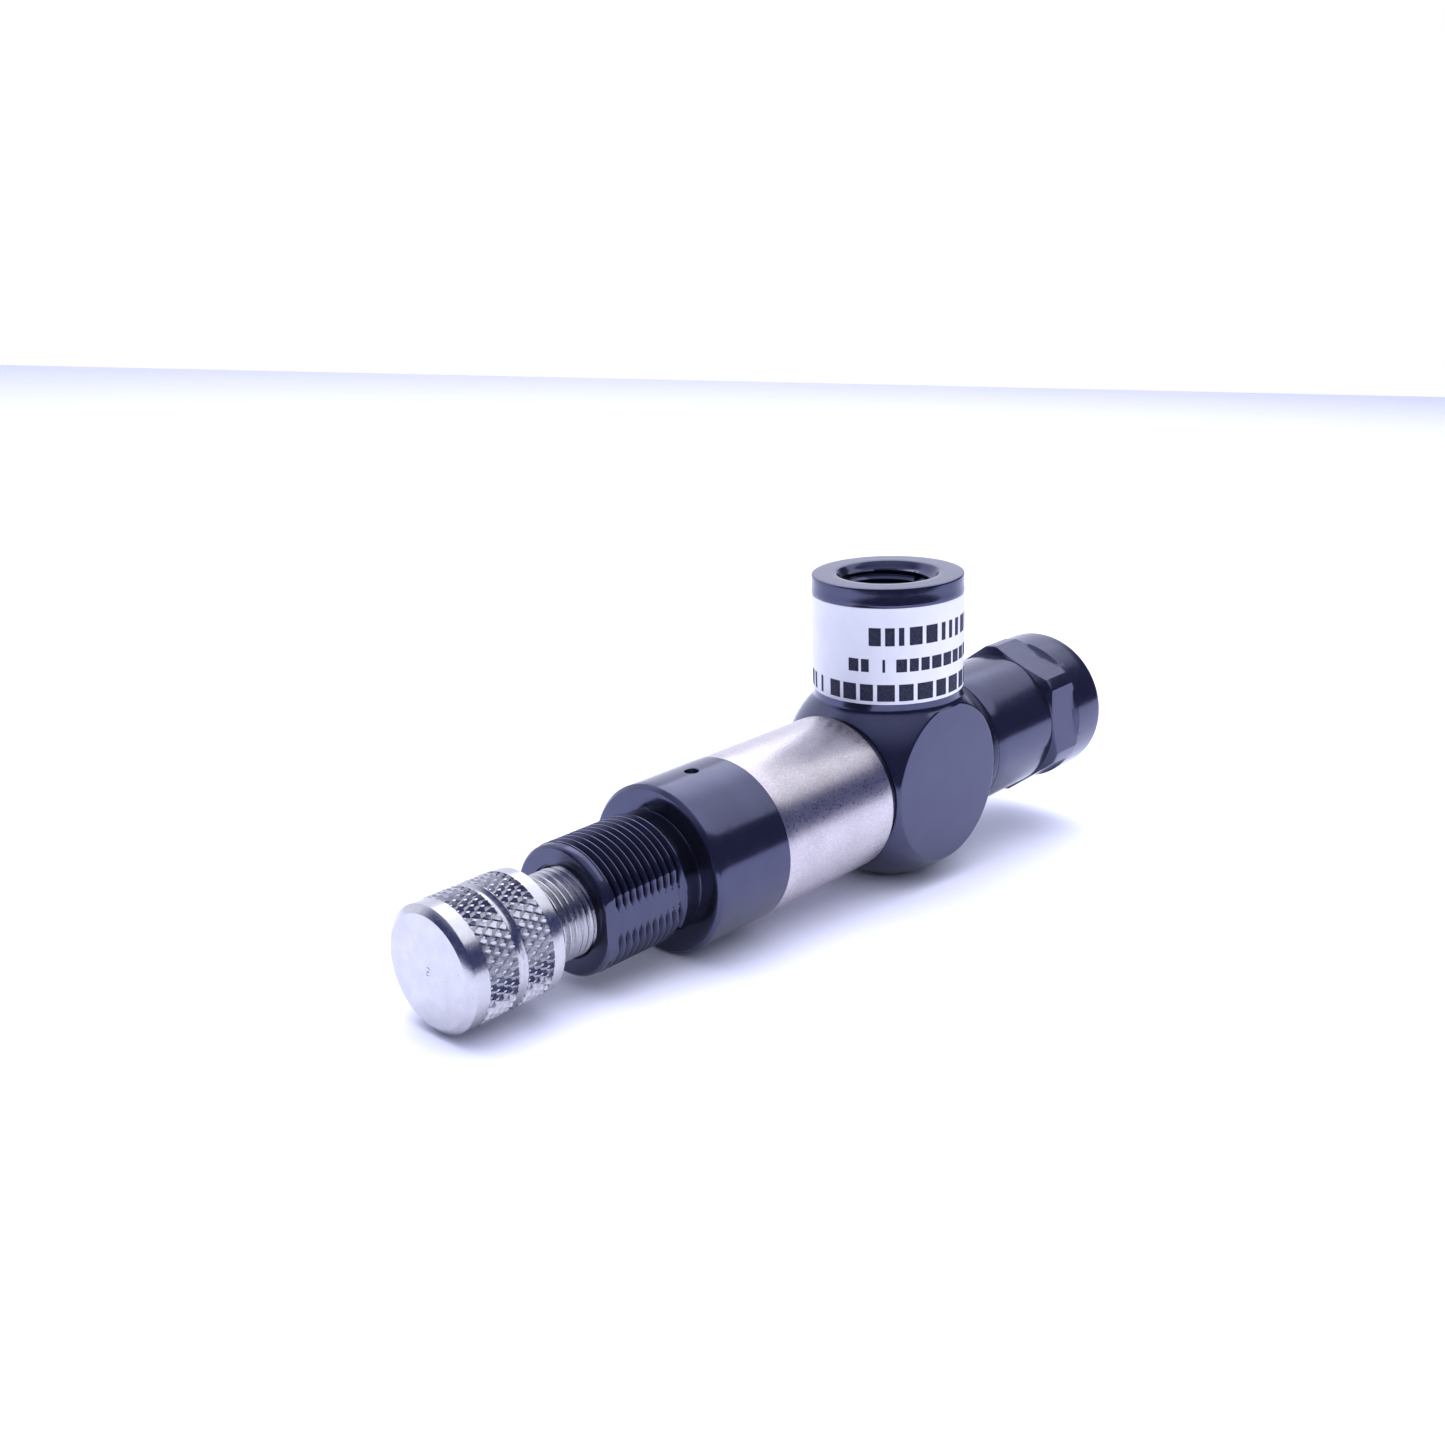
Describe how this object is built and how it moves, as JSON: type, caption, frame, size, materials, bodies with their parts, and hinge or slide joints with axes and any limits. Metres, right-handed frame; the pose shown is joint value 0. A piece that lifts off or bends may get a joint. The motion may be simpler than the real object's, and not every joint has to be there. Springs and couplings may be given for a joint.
{
  "type": "flow control valve",
  "caption": "Small panel-mount air valve with a knurled adjusting knob, spring housing, swivelling threaded side port and threaded inlet end.",
  "frame": {"origin": "on the valve axis, in the plane of the bonnet shoulder that rests on the panel", "axes": "+X along the valve axis from the knob towards the inlet port, +Z along the side port axis, out of its mouth"},
  "size_m": [0.0887, 0.0158, 0.0312],
  "materials": {
    "turned_aluminium": "bright turned, knurled",
    "black_anodised": "satin black anodised",
    "nickel_plate": "satin nickel plate over brass",
    "spring_steel": "drawn wire",
    "bearing_steel": "polished",
    "brass": "turned",
    "sintered_bronze": "sintered, porous",
    "nitrile": "moulded",
    "acetal": "turned",
    "ptfe": "skived",
    "white_film": "printed polyester film"
  },
  "bodies": {
    "housing": {"bonnet": "black_anodised", "cylinder_sleeve": "nickel_plate", "sleeve_seal": "nitrile", "front_thrust_washer": "acetal", "rear_thrust_washer": "acetal", "inlet_fitting": "black_anodised", "seat_insert": "brass", "spring_retainer": "brass", "inlet_filter": "sintered_bronze", "filter_snap_ring": "spring_steel", "range_spring": "spring_steel", "poppet_spring": "spring_steel"},
    "pusher": {"spring_button": "brass", "thrust_ball": "bearing_steel"},
    "knob": {"adjusting_knob": "turned_aluminium"},
    "piston_group": {"piston": "brass", "piston_guide_band": "ptfe", "piston_seal": "nitrile", "relief_seat": "nitrile"},
    "poppet_group": {"poppet": "brass", "poppet_seal": "nitrile"},
    "swivel": {"port_body": "black_anodised", "label_band": "white_film", "front_swivel_seal": "nitrile", "rear_swivel_seal": "nitrile"}
  },
  "joints": [
    {"name": "screw_travel", "type": "slide", "parent": "housing", "child": "pusher", "axis": [1, 0, 0], "range_m": [-0.00127, 0.00381], "deforming": ["range_spring"]},
    {"name": "knob_turn", "type": "hinge", "parent": "pusher", "child": "knob", "pos_m": [0, 0, 0], "axis": [1, 0, 0], "range_deg": [-722, 2162]},
    {"name": "piston_travel", "type": "slide", "parent": "housing", "child": "piston_group", "axis": [1, 0, 0], "range_m": [0, 0.0009], "stiffness_N_per_m": 930, "springref_m": -0.001},
    {"name": "poppet_travel", "type": "slide", "parent": "housing", "child": "poppet_group", "axis": [1, 0, 0], "range_m": [0, 0.0009], "deforming": ["poppet_spring"]},
    {"name": "port_swivel", "type": "hinge", "parent": "housing", "child": "swivel", "pos_m": [0.0343, 0, 0], "axis": [1, 0, 0], "continuous": true}
  ],
  "couplings": [
    {"joint": "knob_turn", "follows": "screw_travel", "rad_per_m": 9894.8},
    {"joint": "poppet_travel", "follows": "piston_travel", "ratio": 1}
  ]
}
